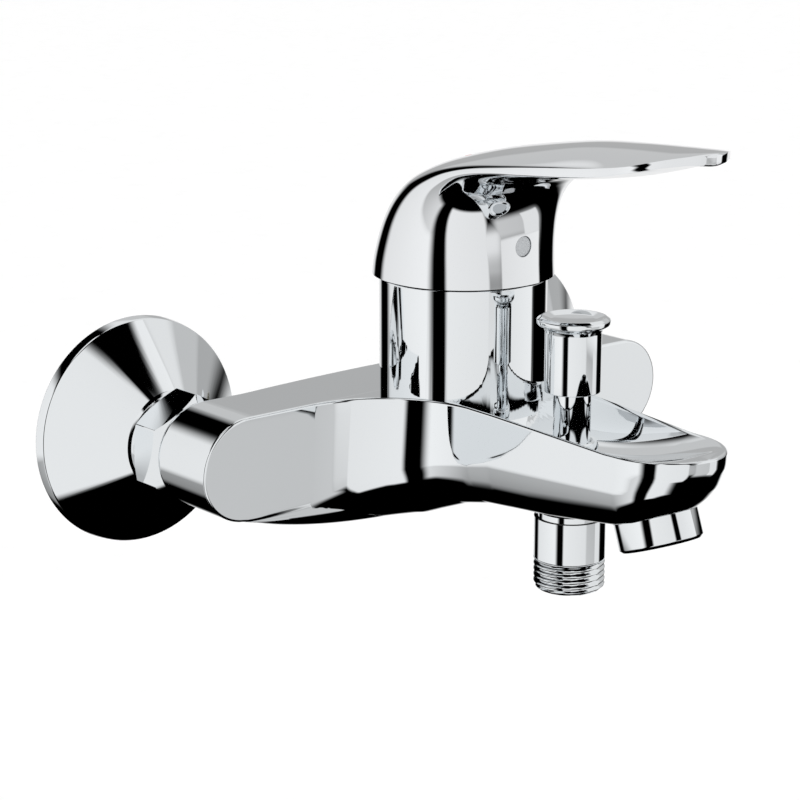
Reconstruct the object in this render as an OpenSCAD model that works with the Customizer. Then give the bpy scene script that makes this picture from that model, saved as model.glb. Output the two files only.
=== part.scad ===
// Wall mounted single-lever bath mixer with a pull-up diverter and a hose outlet.
// Frame: the origin lies on the wall face, midway between the two wall threads.
// +Z is up, +X runs along the wall to the right, and the mixer stands out towards -Y.
// The inlets, the body and all that it carries sit union_drop below the wall threads.

/* [Supply] */
// Distance between the two inlets
inlet_spacing = 150; // [142:1:158]
// Height of the wall threads above the body's inlets
union_drop = 8; // [6:0.5:10]
// Radius of the pipe thread that enters the wall (G 1/2)
wall_thread_r = 10.478; // [9:0.1:11]
// Length of that thread beyond the wall face
wall_thread_len = 14; // [10:0.5:20]
// Radius of the thread that takes the union nut (G 3/4)
nut_thread_r = 13.22; // [12.5:0.1:13.4]
// Wall of the offset union around its waterway
union_wall = 3.6; // [2.5:0.1:4.5]

/* [Escutcheons] */
// Diameter of the escutcheon at the wall
escutcheon_d = 70.2; // [64:0.2:74]
// Depth of the escutcheon from the wall
escutcheon_depth = 21.9; // [19:0.1:24]
// Height of the straight rim against the wall
escutcheon_rim = 3.4; // [2:0.1:5]
// Sheet thickness of the escutcheon
escutcheon_wall = 1; // [0.8:0.1:1.2]

/* [Union nuts] */
// Width across the flats of the nut
nut_af = 30; // [29.6:0.2:33]
// Length of the nut
nut_len = 12.6; // [11.5:0.1:15]
// Thickness of the flat seal between union and body
seal_t = 2; // [1.5:0.1:2.5]

/* [Body] */
// Radius of the round ends of the body's wings
wing_r = 15.7; // [15:0.1:18]
// Depth of the wings from back to front
wing_depth = 24.5; // [24:0.5:30]
// Radius of the fillet between wing and spout, seen from above
armpit_r = 32; // [24:1:33]
// Half width of the spout where the fillet ends
spout_half_w = 20.4; // [19:0.1:22]
// Half width of the spout where its round tip begins
spout_tip_half_w = 17.6; // [16.5:0.1:19]
// Distance of the spout's tip from the wall
spout_reach = 168.7; // [166:0.5:180]
// Depth of the scoop in the spout's top
scoop_depth = 10.6; // [7:0.1:11]
// Droop of the underside's middle below the wings
belly_drop = 13.2; // [10:0.2:14]
// Distance of the neck's axis from the wall
neck_y = 66.3; // [66:0.1:68]
// Radius of the neck
neck_r = 25.2; // [24.8:0.1:26.5]
// Height of the neck's top above the inlets
neck_top = 48.6; // [47.5:0.1:50]

/* [Cartridge] */
// Radius of the cartridge
cartridge_r = 17.4; // [16.5:0.1:17.6]
// Height of the stem's pivot above the inlets
pivot_z = 35; // [34.5:0.1:35.5]
// Distance from the pivot to the stem's ball
ball_arm = 9.5; // [9:0.1:9.8]
// Width of the square stem
stem_w = 7.6; // [7:0.1:8]

/* [Lever] */
// Outer radius of the lever's skirt
skirt_r = 26.8; // [26.5:0.1:28.5]
// Gap between the skirt and the neck's top face
skirt_gap = 0.6; // [0.5:0.1:1]
// Distance of the lever's tip from the wall
lever_reach = 167; // [150:0.5:185]
// Height of the lever's highest point above the inlets
lever_top = 96.5; // [94:0.1:99]
// Half width of the blade near its tip
blade_half_w = 20.8; // [19.6:0.1:23]
// Radius of the cover plug in the skirt
plug_r = 3.1; // [2.8:0.1:3.4]

/* [Diverter] */
// Distance of the diverter and hose outlet from the wall
diverter_y = 114; // [113:0.5:116]
// Upward travel of the diverter knob
diverter_travel = 5; // [4:0.1:5.2]
// Radius of the knob's disc
knob_r = 10.6; // [9.5:0.1:12]
// Radius of the knob's sleeve
knob_sleeve_r = 8.15; // [7:0.05:9]
// Radius of the bright stem under the knob
diverter_stem_r = 5.45; // [5:0.05:5.5]
// Height of the knob's top above the inlets
knob_top = 44; // [40:0.5:50]

/* [Hose outlet] */
// Radius of the hose thread (G 1/2)
hose_thread_r = 10.478; // [9.9:0.1:11]
// Length of the hose thread
hose_thread_len = 9; // [8:0.5:12]
// Depth of the outlet's end below the inlets
hose_end = 37; // [35:0.5:42]

/* [Aerator] */
// Distance of the aerator from the wall
aerator_y = 148.6; // [147:0.1:150]
// Forward tilt of the aerator in degrees
aerator_tilt = 20; // [16:1:22]
// Radius of the aerator's housing
aerator_r = 12; // [11.6:0.1:12.4]
// Length of the housing that shows
aerator_len = 7; // [5:0.5:9]

/* [Hidden] */

$fn = 72;
hull_fn = 32;
bore_overrun = 0.5;
run_gap = 0.05;
slip_gap = 0.02;
free_gap = 0.4;

chrome = "gainsboro";
raw_brass = "goldenrod";
steel = "silver";
black_plastic = "dimgray";
white_plastic = "whitesmoke";
rubber = "black";

// ---- stations along -Y, counted from the wall ----
nut_start = escutcheon_depth + 0.5;
nut_end = nut_start + nut_len;
wing_back = nut_end + 0.5;
wing_front = wing_back + wing_depth;
lip_t = 1.9;
tail_flange_t = 2;
tail_flange_start = nut_end - lip_t - tail_flange_t - 0.1;
union_end = tail_flange_start - seal_t;
collar_start = 3;
collar_end = 9;
tail_r = 10.9;
tail_flange_r = nut_thread_r - 0.9;
tail_depth = 11;
tail_bore_r = 7.6;
union_bore_r = nut_thread_r - union_wall;
wall_bore_r = wall_thread_r - union_wall;
collar_r = 17;
duct_y = wing_back + tail_depth + 1.4;
duct_r = 6;

// ---- heights of the body ----
body_top = wing_r - 0.2;
spout_tip_top = 13.4;
scoop_floor = body_top - scoop_depth;
belly = 17.6;
tip_back = 20.6;
tip_start = spout_reach - tip_back;
chamber_floor = 11;
nut_seat = 36;
nut_socket_r = 20.5;

// ---- cartridge heights ----
base_t = 4;
seal_stand = 0.2;
base_z = chamber_floor + seal_stand;
fixed_z = base_z + base_t;
disc_t = 3.4;
moving_z = fixed_z + disc_t + slip_gap;
moving_t = 2.8;
carrier_z = moving_z + moving_t;
ball_z = pivot_z - ball_arm;
ball_r = 2.5;
carrier_top = ball_z + 1.8;
rotor_z = carrier_top + 0.3;
housing_top = nut_seat;
housing_roof = 2.4;
housing_bore_r = cartridge_r - 1.7;
rotor_r = housing_bore_r - 0.2;
rotor_neck_r = 11.4;
rotor_top = nut_seat + 7.6;
nut_top = nut_seat + 8.6;
stem_top = 66;
pin_r = 1.5;
port_r = 3;
port_ring = 8.2;
port_angles = [150, 30, 270];
carrier_r = 11.2;
seal_ring_r = 4.3;

// ---- lever ----
skirt_z = neck_top + skirt_gap;
skirt_wall = 1.2;
lever_hollow_h = 28.5;
screw_z = 60.8;
screw_r = 2.5;
screw_len = 7;
hub_r = 7.6;
hub_z = skirt_z + 1.4;

// ---- diverter and hose outlet ----
bonnet_thread_r = 6.9;
bonnet_flange_r = 7.35;
bonnet_seat = scoop_floor - 0.2;
bonnet_top = 7.6;
bonnet_bottom = -0.2;
bonnet_lip = 1.4;
stem_seal_z = 4;
rod_r = 1.9;
upper_seat = -6;
valve_t = 1.2;
washer_t = 0.6;
nipple_top = upper_seat - diverter_travel - valve_t - 2 * washer_t - 0.2;
lower_chamber_r = 8.4;
upper_chamber_r = 5.6;
valve_r = 7.4;
spigot_r = 9.2;
spout_duct_r = 2.7;
spout_duct_z = -3;
hose_shank_r = hose_thread_r - 0.25;
hose_bore_r = 7.7;
neck_bore_r = 6;
check_z = -hose_end + 2;
check_len = 12;
sleeve_end = 22;

// ---- aerator ----
aerator_z = -8.6;
aerator_thread_r = 10.9;
aerator_thread_len = 6;
aerator_sink = 1.6;

// ---- helpers ----

// Lowers what the mixer carries to the height of its inlets.
module at_inlets() { translate([0, 0, -union_drop]) children(); }

// A cylinder along -Y whose near end is d from the wall.
module rod_y(r, d, len, x = 0, z = 0) {
    translate([x, -d, z]) rotate([90, 0, 0]) cylinder(r = r, h = len);
}

// A profile of [radius, distance from the wall] pairs turned about a Y axis.
module turned_y(points, x = 0) {
    translate([x, 0, 0]) rotate([90, 0, 0]) rotate_extrude() polygon(points);
}

// A profile of [radius, height] pairs turned about an upright axis.
module turned_z(points, y = 0) {
    translate([0, -y, 0]) rotate_extrude() polygon(points);
}

// A [distance from the wall, height] profile drawn across the mixer.
module across(points, half) {
    rotate([0, 0, 90]) rotate([90, 0, 0]) translate([0, 0, -half])
        linear_extrude(2 * half) mirror([1, 0]) polygon(points);
}

function arc(c, r, a0, a1, n = 16) =
    [for (i = [0 : n]) let (a = a0 + (a1 - a0) * i / n) [c[0] + r * cos(a), c[1] + r * sin(a)]];

function oval(c, rx, ry, a0, a1, n = 24) =
    [for (i = [0 : n]) let (a = a0 + (a1 - a0) * i / n) [c[0] + rx * cos(a), c[1] + ry * sin(a)]];

function flipped(points) = [for (i = [len(points) - 1 : -1 : 0]) [-points[i][0], points[i][1]]];

// ---- body ----

// Half of the outline seen from above, from the middle of the back to the tip.
function plan_half() = concat(
    [[0, -wing_back + 3.6], [20, -wing_back + 3.2], [40, -wing_back + 1.6]],
    [[spout_half_w + armpit_r, -wing_back]],
    arc([spout_half_w + armpit_r, -wing_front - armpit_r], armpit_r, 90, 180),
    oval([0, -tip_start], spout_tip_half_w, tip_back, 0, -90));

module plan_outline() { polygon(concat(plan_half(), flipped(plan_half()))); }

module wing_outline() {
    square([inlet_spacing, 2 * wing_r], center = true);
    for (side = [-1, 1]) translate([side * inlet_spacing / 2, 0]) circle(wing_r);
}

// The body's middle and spout from the side: distance from the wall, height.
side_profile = [[wing_back - 4, body_top], [tip_start - 48, body_top], [tip_start, 14],
    [spout_reach + 1, spout_tip_top], [spout_reach + 1, 6], [spout_reach - 1.6, 3],
    [spout_reach - 6, -2.4], [spout_reach - 12, -6.6], [tip_start, -10.4],
    [tip_start - 18, -13.2], [tip_start - 34, -15.2], [tip_start - 48, -16.4],
    [tip_start - 62, -belly], [wing_front - 4, -belly], [wing_back - 4, -wing_r]];

// The spout's round-bottomed cross-section.
section_half = concat([[0, body_top + 2], [60, body_top + 2], [60, -wing_r]],
    [[spout_half_w + 4, -wing_r]], oval([0, -4], spout_half_w + 2, belly - 4, -40, -90, 10));

module scoop() {
    sweep_r = 150;
    cut_r = (pow(spout_tip_half_w + 1.6, 2) + pow(scoop_depth, 2)) / (2 * scoop_depth);
    intersection() {
        translate([0, -diverter_y, scoop_floor + sweep_r]) rotate([0, 90, 0])
            rotate_extrude() translate([sweep_r - cut_r, 0]) circle(cut_r);
        translate([-40, -spout_reach - 5, scoop_floor - 1])
            cube([80, spout_reach + 5 - neck_y, 20]);
    }
}

module neck_fillet() {
    fillet_r = 9;
    intersection() {
        translate([0, -neck_y, 0]) rotate_extrude() difference() {
            translate([neck_r - 1, scoop_floor - 2]) square([fillet_r + 1, fillet_r + 2]);
            translate([neck_r + fillet_r, scoop_floor + fillet_r]) circle(fillet_r);
        }
        translate([0, 0, scoop_floor - 2]) linear_extrude(30) plan_outline();
        translate([-40, -spout_reach, -5]) cube([80, spout_reach, 5 + body_top]);
    }
}

// Depth of the underside at x: level at the wing ends and deepest in the middle.
function droop(x) = wing_r + belly_drop * pow(1 - pow(x / (inlet_spacing / 2 + 1), 2), 0.8);

// The round underside that hangs below the wings and runs out towards the spout.
module underside() {
    half = inlet_spacing / 2;
    mid = wing_back + wing_depth / 2;
    low = wing_r + belly_drop;
    intersection() {
        rotate([90, 0, 0]) linear_extrude(wing_front) polygon(concat([[half, -5], [-half, -5]],
            [for (i = [-12 : 12]) [half * i / 12, -droop(half * i / 12)]]));
        across(oval([mid, 3 - wing_r], wing_depth / 2 - run_gap, belly_drop + 3, 180, 360), half);
    }
    intersection() {
        translate([0, 0, -40]) linear_extrude(40) plan_outline();
        across([[mid, -4], [mid, 0.3 - low], [wing_front - 6, 0.6 - low], [wing_front + 6, 5.9 - low],
            [wing_front + 16, 9.9 - low], [wing_front + 28, 12.7 - low], [wing_front + 32, -4]], 40);
        rotate([90, 0, 0]) linear_extrude(120) polygon(oval([0, -8], 36, low - 8, 0, -180));
    }
}

module body_solid() {
    underside();
    translate([0, -wing_back, 0]) rotate([90, 0, 0]) linear_extrude(wing_depth) wing_outline();
    difference() {
        intersection() {
            translate([0, 0, -30]) linear_extrude(60) plan_outline();
            across(side_profile, 60);
            rotate([90, 0, 0]) linear_extrude(spout_reach + 5)
                polygon(concat(section_half, flipped(section_half)));
        }
        difference() {
            scoop();
            translate([0, -neck_y, -20]) cylinder(r = neck_r, h = 60);
        }
    }
    neck_fillet();
    translate([0, -neck_y, 0]) cylinder(r = neck_r, h = neck_top);
}

module port_pattern(r) {
    for (a = port_angles) rotate(a) translate([port_ring, 0]) circle(r);
}

module cartridge_ports(r, z, h) {
    translate([0, -neck_y, z]) linear_extrude(h) port_pattern(r);
}

module inlet_ways() {
    for (side = [-1, 1]) {
        x = side * inlet_spacing / 2;
        rod_y(tail_r + slip_gap, wing_back - bore_overrun, tail_depth + bore_overrun, x);
        rod_y(tail_bore_r, wing_back, duct_y - wing_back, x);
        port_x = side * port_ring * cos(30);
        translate([port_x, -duct_y, 0]) rotate([0, side * 90, 0])
            cylinder(r = duct_r, h = inlet_spacing / 2 - port_ring * cos(30));
        translate([port_x, -duct_y, 0]) sphere(duct_r);
        port_y = neck_y - port_ring * sin(30);
        hull() {
            translate([port_x, -duct_y - 1, 0]) cylinder(r = port_r, h = 1, $fn = hull_fn);
            translate([port_x, -port_y, chamber_floor - 1.6])
                cylinder(r = port_r, h = 1, $fn = hull_fn);
        }
        translate([port_x, -port_y, chamber_floor - 2]) cylinder(r = port_r, h = 3);
    }
}

module mixed_way() {
    out_y = neck_y + port_ring;
    translate([0, -out_y, -9]) cylinder(r = port_r + 0.6, h = chamber_floor + 10);
    translate([0, -out_y, -9]) sphere(port_r + 0.6);
    rod_y(port_r + 0.6, out_y, diverter_y - out_y, 0, -9);
}

module diverter_bores() {
    translate([0, -diverter_y, 0]) {
        translate([0, 0, bonnet_seat]) cylinder(r = bonnet_flange_r + free_gap, h = 14);
        translate([0, 0, bonnet_bottom]) cylinder(r = bonnet_thread_r + slip_gap, h = 12);
        translate([0, 0, upper_seat - 1]) cylinder(r = upper_chamber_r, h = 8);
        translate([0, 0, nipple_top - 1]) cylinder(r = lower_chamber_r, h = upper_seat - nipple_top + 1);
        translate([0, 0, -belly - 4]) cylinder(r = spigot_r + slip_gap, h = nipple_top + belly + 4);
        translate([0, 0, -belly - 8]) cylinder(r = hose_shank_r + slip_gap, h = 10.4);
    }
}

module at_aerator() {
    translate([0, -aerator_y, aerator_z]) rotate([-aerator_tilt, 0, 0]) children();
}

module aerator_bores() {
    at_aerator() {
        translate([0, 0, -12]) cylinder(r = aerator_r + 0.3, h = 12 + aerator_sink);
        cylinder(r = aerator_thread_r + slip_gap, h = aerator_sink + aerator_thread_len);
        cylinder(r = 6, h = aerator_sink + aerator_thread_len + 1);
    }
    for (x = [-3, 3]) rod_y(spout_duct_r, diverter_y, aerator_y - diverter_y, x, spout_duct_z);
}

module body_casting() {
    at_inlets() color(chrome) difference() {
        body_solid();
        translate([0, -neck_y, chamber_floor]) cylinder(r = cartridge_r + run_gap, h = 60);
        translate([0, -neck_y, nut_seat]) cylinder(r = nut_socket_r, h = 60);
        for (a = [60, 240]) translate([0, -neck_y, chamber_floor - 2.4]) rotate(a)
            translate([14, 0, 0]) cylinder(r = 1.55, h = 4);
        inlet_ways();
        mixed_way();
        diverter_bores();
        aerator_bores();
    }
}

// ---- supply side ----

module wall_union(side) {
    x = side * inlet_spacing / 2;
    color(steel) difference() {
        union() {
            translate([x, wall_thread_len, 0]) rotate([90, 0, 0])
                cylinder(r = wall_thread_r, h = wall_thread_len + collar_end - 1);
            rod_y(collar_r, collar_start, collar_end - collar_start, x, -union_drop / 2);
            rod_y(nut_thread_r, collar_end - 1, union_end - collar_end + 1, x, -union_drop);
        }
        translate([x, wall_thread_len + bore_overrun, 0]) rotate([90, 0, 0])
            cylinder(r = wall_bore_r, h = wall_thread_len + bore_overrun + collar_end - 1);
        rod_y(union_bore_r, collar_end - 4, union_end, x, -union_drop);
    }
}

module escutcheon(side) {
    r = escutcheon_d / 2;
    lip_r = nut_thread_r + 1.5;
    inner = nut_thread_r + run_gap;
    at_inlets() color(chrome) turned_y([[r, 0], [r - 0.5, escutcheon_rim],
        [lip_r + 0.8, escutcheon_depth - 2.4], [lip_r, escutcheon_depth - 1.2],
        [lip_r, escutcheon_depth], [inner, escutcheon_depth],
        [inner, escutcheon_depth - 3.4], [r - 0.5 - escutcheon_wall * 1.6, escutcheon_rim - 0.6],
        [r - escutcheon_wall, 0]], side * inlet_spacing / 2);
}

module union_nut(side) {
    x = side * inlet_spacing / 2;
    corner = nut_af / 2 / cos(30);
    at_inlets() color(chrome) difference() {
        intersection() {
            rotate([90, 0, 0]) translate([x, 0, nut_start]) cylinder(r = corner, h = nut_len, $fn = 6);
            turned_y([[0, nut_start], [corner - 1.6, nut_start], [corner, nut_start + 1.2],
                [corner, nut_end - 1.8], [corner - 2.6, nut_end], [0, nut_end]], x);
        }
        rod_y(nut_thread_r + run_gap, nut_start - bore_overrun, nut_len - lip_t + bore_overrun, x);
        rod_y(tail_r + 0.2, nut_start, nut_len + bore_overrun, x);
    }
}

module inlet_seal(side) {
    x = side * inlet_spacing / 2;
    at_inlets() color(rubber) difference() {
        rod_y(tail_flange_r, union_end, seal_t, x);
        rod_y(tail_bore_r + 0.6, union_end - bore_overrun, seal_t + 2 * bore_overrun, x);
    }
}

module inlet_tail(side) {
    x = side * inlet_spacing / 2;
    at_inlets() color(raw_brass) difference() {
        union() {
            rod_y(tail_flange_r, tail_flange_start, tail_flange_t, x);
            rod_y(tail_r, tail_flange_start + 1, wing_back + tail_depth - tail_flange_start - 1, x);
        }
        rod_y(tail_bore_r, tail_flange_start - bore_overrun, 40, x);
        rotate([90, 0, 0]) translate([x, 0, wing_back]) cylinder(r = 9, h = 20, $fn = 6);
    }
}

// A cup strainer that hangs in the offset union and is held by the seal.
module dirt_strainer(side) {
    cup_r = tail_bore_r - 0.6;
    cup_len = 9;
    hole_r = 0.8;
    x = side * inlet_spacing / 2;
    at_inlets() color(white_plastic) difference() {
        union() {
            rod_y(cup_r, union_end - cup_len, cup_len + seal_t, x);
            rod_y(tail_bore_r + 0.5, union_end + 0.1, seal_t - 0.2, x);
        }
        rod_y(cup_r - 0.8, union_end - cup_len + 0.8, cup_len + 5, x);
        for (ring = [1, 2], i = [0 : ring * 6 - 1])
            rotate([90, 0, 0]) translate([x, 0, union_end - cup_len - 1]) rotate(i * 60 / ring)
                translate([ring * 2.5, 0, 0]) cylinder(r = hole_r, h = 3);
    }
}

// ---- cartridge ----

module cartridge_base() {
    at_inlets() color(white_plastic) difference() {
        union() {
            translate([0, -neck_y, base_z]) cylinder(r = cartridge_r, h = base_t);
            for (a = [60, 240]) translate([0, -neck_y, base_z - 2.2]) rotate(a)
                translate([14, 0, 0]) cylinder(r = 1.5, h = 3);
        }
        cartridge_ports(port_r - 0.2, base_z - 1, base_t + 2);
        cartridge_ports(seal_ring_r, base_z - 1, 2);
    }
}

module cartridge_port_seals() {
    at_inlets() color(rubber) translate([0, -neck_y, chamber_floor])
        linear_extrude(seal_stand + 1) difference() {
            port_pattern(seal_ring_r);
            port_pattern(port_r);
        }
}

module cartridge_housing() {
    at_inlets() color(black_plastic) turned_z([[housing_bore_r, fixed_z], [cartridge_r, fixed_z],
        [cartridge_r, housing_top], [rotor_neck_r + run_gap, housing_top],
        [rotor_neck_r + run_gap, housing_top - housing_roof],
        [housing_bore_r, housing_top - housing_roof]], neck_y);
}

module cartridge_fixed_disc() {
    at_inlets() color("white") difference() {
        translate([0, -neck_y, fixed_z]) cylinder(r = housing_bore_r - 0.1, h = disc_t);
        cartridge_ports(port_r - 0.2, fixed_z - 1, disc_t + 2);
    }
}

module cartridge_moving_disc() {
    at_inlets() color("white") difference() {
        translate([0, -neck_y, moving_z]) cylinder(r = carrier_r, h = moving_t);
        translate([-4, -neck_y - 6, moving_z - 1]) cube([8, 12, 2.4]);
    }
}

module cartridge_disc_carrier() {
    at_inlets() color(white_plastic) difference() {
        translate([0, -neck_y, carrier_z]) cylinder(r = carrier_r, h = carrier_top - carrier_z);
        translate([0, -neck_y, carrier_z + 0.4]) cylinder(r = ball_r + 0.1, h = 12);
    }
}

module cartridge_rotor() {
    shoulder = housing_top - housing_roof - 0.1;
    slot = stem_w + 0.5;
    slot_front = 6;
    slot_rear = 9;
    at_inlets() color(black_plastic) difference() {
        union() {
            translate([0, -neck_y, rotor_z]) cylinder(r = rotor_r, h = shoulder - rotor_z);
            translate([0, -neck_y, rotor_z]) cylinder(r = rotor_neck_r, h = rotor_top - rotor_z);
            for (side = [-1, 1]) intersection() {
                translate([0, -neck_y, moving_z + 0.5]) cylinder(r = rotor_r, h = 12);
                translate([side * (carrier_r + 2.5) - 2, -neck_y - 8, moving_z + 0.5])
                    cube([4, 16, rotor_z - moving_z]);
            }
        }
        translate([-slot / 2, -neck_y - slot_front, rotor_z - 1])
            cube([slot, slot_front + slot_rear, 30]);
        translate([-12, -neck_y, pivot_z]) rotate([0, 90, 0]) cylinder(r = pin_r, h = 24);
    }
}

module cartridge_pivot_pin() {
    at_inlets() color(steel) translate([-rotor_neck_r + 0.4, -neck_y, pivot_z])
        rotate([0, 90, 0]) cylinder(r = pin_r, h = 2 * rotor_neck_r - 0.8);
}

module cartridge_stem() {
    at_inlets() color(raw_brass) difference() {
        union() {
            translate([0, -neck_y, ball_z]) sphere(ball_r);
            translate([0, -neck_y, ball_z]) cylinder(r = 1.6, h = ball_arm);
            translate([-stem_w / 2, -neck_y - stem_w / 2, pivot_z - stem_w / 2])
                cube([stem_w, stem_w, stem_top - pivot_z + stem_w / 2]);
        }
        translate([-10, -neck_y, pivot_z]) rotate([0, 90, 0]) cylinder(r = pin_r + run_gap, h = 20);
    }
}

module cartridge_nut() {
    opening = rotor_neck_r + 1;
    at_inlets() color(raw_brass) difference() {
        turned_z([[opening, nut_seat], [nut_socket_r - slip_gap, nut_seat],
            [nut_socket_r - slip_gap, nut_top - 1], [nut_socket_r - 1, nut_top],
            [opening, nut_top]], neck_y);
        for (a = [0 : 60 : 300]) translate([0, -neck_y, nut_top - 3]) rotate(a)
            translate([nut_socket_r - 3, -1.5, 0]) cube([6, 3, 6]);
    }
}

// ---- lever ----

// Height between the skirt's foot and the lever's top, h from 0 to 1.
function up(h) = skirt_z + h * (lever_top - skirt_z);

// Distance from the wall, k skirt radii behind the neck's axis.
function behind(k) = neck_y - k * skirt_r;

// Distance from the wall, f of the way from the neck's axis to the lever's tip.
function ahead(f) = neck_y + f * (lever_reach - neck_y);

// The lever's sections, from the skirt's foot to the tip: each one runs from a point on
// the back and top to a point on the front and underside, and has a half width.
lever_sections = [
    [behind(1), up(0), behind(-1), up(0), skirt_r],
    [behind(0.97), up(0.10), behind(-0.99), up(0.11), skirt_r - 0.2],
    [behind(0.885), up(0.23), behind(-0.985), up(0.24), skirt_r - 0.4],
    [behind(0.75), up(0.375), behind(-0.996), up(0.365), skirt_r - 0.5],
    [behind(0.56), up(0.51), behind(-1.035), up(0.47), skirt_r - 0.6],
    [behind(0.31), up(0.625), behind(-1.11), up(0.555), skirt_r - 0.7],
    [ahead(0.002), up(0.715), ahead(0.327), up(0.62), skirt_r - 0.8],
    [ahead(0.106), up(0.79), ahead(0.379), up(0.685), skirt_r - 0.9],
    [ahead(0.235), up(0.858), ahead(0.464), up(0.728), skirt_r - 1.4],
    [ahead(0.374), up(0.91), ahead(0.563), up(0.755), blade_half_w + 3.4],
    [ahead(0.533), up(0.956), ahead(0.662), up(0.782), blade_half_w + 1.5],
    [ahead(0.692), up(0.98), ahead(0.77), up(0.82), blade_half_w - 0.9],
    [ahead(0.82), up(0.992), ahead(0.855), up(0.866), blade_half_w - 2.4],
    [ahead(0.91), up(0.998), ahead(0.915), up(0.904), blade_half_w - 6.3],
    [ahead(0.965), up(1), ahead(0.962), up(0.928), blade_half_w - 12.3],
    [ahead(0.996), up(0.994), ahead(0.99), up(0.945), blade_half_w - 18.8]];

// One section as a ring of points: an oval a little fuller than an ellipse.
function lever_ring(s, sides) = [for (j = [0 : sides - 1]) let (a = j * 360 / sides,
    c = cos(a), v = sin(a), full = 0.9, u = sign(c) * pow(abs(c), full),
    w = sign(v) * pow(abs(v), full), mid_y = (s[0] + s[2]) / 2, mid_z = (s[1] + s[3]) / 2)
    [s[4] * u, -mid_y - w * (s[0] - s[2]) / 2, mid_z + w * (s[1] - s[3]) / 2]];

module lever_solid() {
    sides = 40;
    rings = len(lever_sections);
    pts = [for (s = lever_sections) each lever_ring(s, sides)];
    walls = [for (i = [0 : rings - 2], j = [0 : sides - 1]) let (k = (j + 1) % sides)
        [i * sides + j, i * sides + k, (i + 1) * sides + k, (i + 1) * sides + j]];
    foot = [for (j = [sides - 1 : -1 : 0]) j];
    tip = [for (j = [0 : sides - 1]) (rings - 1) * sides + j];
    polyhedron(pts, concat(walls, [foot, tip]), convexity = 6);
}

module lever_hollow() {
    rise = lever_hollow_h;
    r = skirt_r - skirt_wall;
    turned_z(concat([[0, skirt_z - 1], [r, skirt_z - 1]],
        [for (i = [0 : 16]) let (t = sin(i * 90 / 16))
            [r * pow(max(1 - pow(t, 1.7), 0), 0.75), skirt_z + t * rise]]), neck_y);
}

module mark_peg(side) {
    translate([side * 2.2, -neck_y - 4.5, up(0.7)]) cylinder(r = 1.1, h = 20);
}

module lever_handle() {
    at_inlets() color(chrome) difference() {
        lever_solid();
        difference() {
            lever_hollow();
            translate([0, -neck_y, hub_z]) cylinder(r = hub_r, h = lever_hollow_h);
            rod_y(plug_r + 1.6, neck_y, skirt_r - 0.6, 0, screw_z);
        }
        translate([-stem_w / 2 - slip_gap, -neck_y - stem_w / 2 - slip_gap, hub_z - 1])
            cube([stem_w + 2 * slip_gap, stem_w + 2 * slip_gap, stem_top - hub_z + 1.2]);
        rod_y(plug_r, neck_y + stem_w / 2 + screw_len, 30, 0, screw_z);
        rod_y(screw_r, neck_y, 30, 0, screw_z);
        for (side = [-1, 1]) mark_peg(side);
    }
}

module lever_set_screw() {
    at_inlets() color(steel) difference() {
        rod_y(screw_r - slip_gap, neck_y + stem_w / 2 + slip_gap, screw_len, 0, screw_z);
        rotate([90, 0, 0]) translate([0, screw_z, neck_y + stem_w / 2 + screw_len - 3])
            cylinder(r = 1.4, h = 4, $fn = 6);
    }
}

module lever_screw_plug() {
    at_inlets() color("lightgray") intersection() {
        rod_y(plug_r - slip_gap, neck_y + skirt_r - 4, 6, 0, screw_z);
        translate([0, -neck_y, skirt_z]) cylinder(r = skirt_r - 0.5, h = 30);
    }
}

module mark(side) {
    at_inlets() intersection() {
        lever_solid();
        mark_peg(side);
    }
}

module hot_mark() { color("red") mark(-1); }

module cold_mark() { color("blue") mark(1); }

// ---- diverter ----

module diverter_knob() {
    rim = 1.6;
    at_inlets() color(chrome) turned_z([[0, knob_top - 1.2], [knob_r - 3, knob_top - 0.9],
        [knob_r - 1.4, knob_top], [knob_r - 0.3, knob_top - 0.4], [knob_r, knob_top - rim],
        [knob_r - 0.4, knob_top - rim - 1], [knob_sleeve_r, knob_top - 4],
        [knob_sleeve_r, sleeve_end], [diverter_stem_r + 0.02, sleeve_end],
        [diverter_stem_r + 0.02, knob_top - 6], [0, knob_top - 6]], diverter_y);
}

module diverter_stem() {
    at_inlets() color(chrome) turned_z([[0, nipple_top + 0.1], [rod_r, nipple_top + 0.1],
        [rod_r, bonnet_bottom + bonnet_lip + 0.2], [diverter_stem_r, bonnet_bottom + bonnet_lip + 0.2],
        [diverter_stem_r, stem_seal_z - 0.9], [diverter_stem_r - 1.4, stem_seal_z - 0.9],
        [diverter_stem_r - 1.4, stem_seal_z + 0.9], [diverter_stem_r, stem_seal_z + 0.9],
        [diverter_stem_r, knob_top - 6.1], [0, knob_top - 6.1]], diverter_y);
}

module diverter_stem_seal() {
    at_inlets() color(rubber) translate([0, -diverter_y, stem_seal_z]) rotate_extrude()
        translate([diverter_stem_r - 0.72, 0]) circle(0.68);
}

module diverter_bonnet() {
    at_inlets() color(chrome) turned_z([[rod_r + 0.1, bonnet_bottom], [bonnet_thread_r, bonnet_bottom],
        [bonnet_thread_r, bonnet_seat + slip_gap], [bonnet_flange_r, bonnet_seat + slip_gap],
        [bonnet_flange_r, bonnet_top], [diverter_stem_r + run_gap, bonnet_top],
        [diverter_stem_r + run_gap, bonnet_bottom + bonnet_lip],
        [rod_r + 0.1, bonnet_bottom + bonnet_lip]], diverter_y);
}

module diverter_ring(r, z, h) {
    translate([0, -diverter_y, z]) difference() {
        cylinder(r = r, h = h);
        translate([0, 0, -1]) cylinder(r = rod_r + slip_gap, h = h + 2);
    }
}

module diverter_valve() {
    at_inlets() color(raw_brass) diverter_ring(valve_r - 0.2, nipple_top + 0.1 + washer_t, valve_t);
}

module diverter_washers() {
    at_inlets() color(rubber) for (z = [0, washer_t + valve_t])
        diverter_ring(valve_r, nipple_top + 0.1 + z, washer_t);
}

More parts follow.
